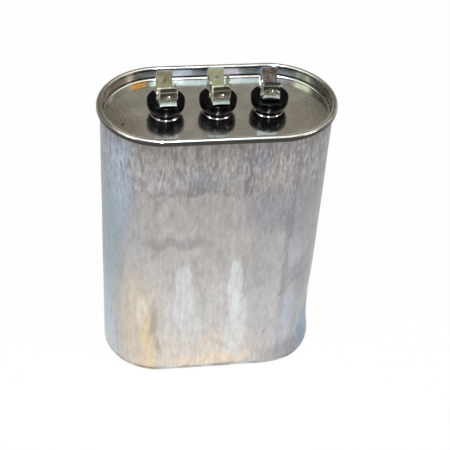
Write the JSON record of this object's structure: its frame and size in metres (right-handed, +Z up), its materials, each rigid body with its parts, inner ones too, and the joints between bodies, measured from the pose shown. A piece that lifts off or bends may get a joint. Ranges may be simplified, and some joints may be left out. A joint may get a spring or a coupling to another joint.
{
  "type": "motor run capacitor",
  "caption": "Oval drawn metal can with a sunk, double seamed cover and a row of quick connect terminal clusters on black bushings.",
  "frame": {"origin": "centre of the can's base, on the surface it stands on", "axes": "+Z up through the terminals, X along the long axis of the oval with the three-tab terminal on +X, Y across the oval"},
  "size_m": [0.093, 0.05, 0.1372],
  "materials": {
    "can_aluminium": "bare drawn, matt, scuffed and water marked",
    "cover_tinplate": "tinplate, glossy and slightly dulled",
    "bushing_phenolic": "glossy black moulding",
    "tab_tinned_brass": "tinned brass, half gloss, dulled",
    "rivet_steel": "tinned",
    "gasket_rubber": "matt",
    "paper_phenolic": "satin laminate",
    "tinned_copper": "tinned",
    "polypropylene": "natural, waxy",
    "metallised_film": "silvery film edges",
    "sprayed_zinc": "rough, grey"
  },
  "bodies": {
    "root": {"can": "can_aluminium", "cover": "cover_tinplate", "bushing_left": "bushing_phenolic", "bushing_middle": "bushing_phenolic", "bushing_right": "bushing_phenolic", "terminal_left": "tab_tinned_brass", "terminal_middle": "tab_tinned_brass", "terminal_right": "tab_tinned_brass", "terminal_rivets": "rivet_steel", "gasket_left": "gasket_rubber", "gasket_middle": "gasket_rubber", "gasket_right": "gasket_rubber", "washer_left": "paper_phenolic", "washer_middle": "paper_phenolic", "washer_right": "paper_phenolic", "tag_left": "tinned_copper", "tag_middle": "tinned_copper", "tag_right": "tinned_copper", "interrupter_plate": "paper_phenolic", "spacer": "polypropylene", "wrap": "polypropylene", "winding": "metallised_film", "winding_core": "polypropylene", "large_section_spray": "sprayed_zinc", "small_section_spray": "sprayed_zinc", "common_spray": "sprayed_zinc", "large_section_lead": "tinned_copper", "small_section_lead": "tinned_copper", "common_lead": "tinned_copper", "base_pad": "polypropylene"}
  },
  "joints": []
}
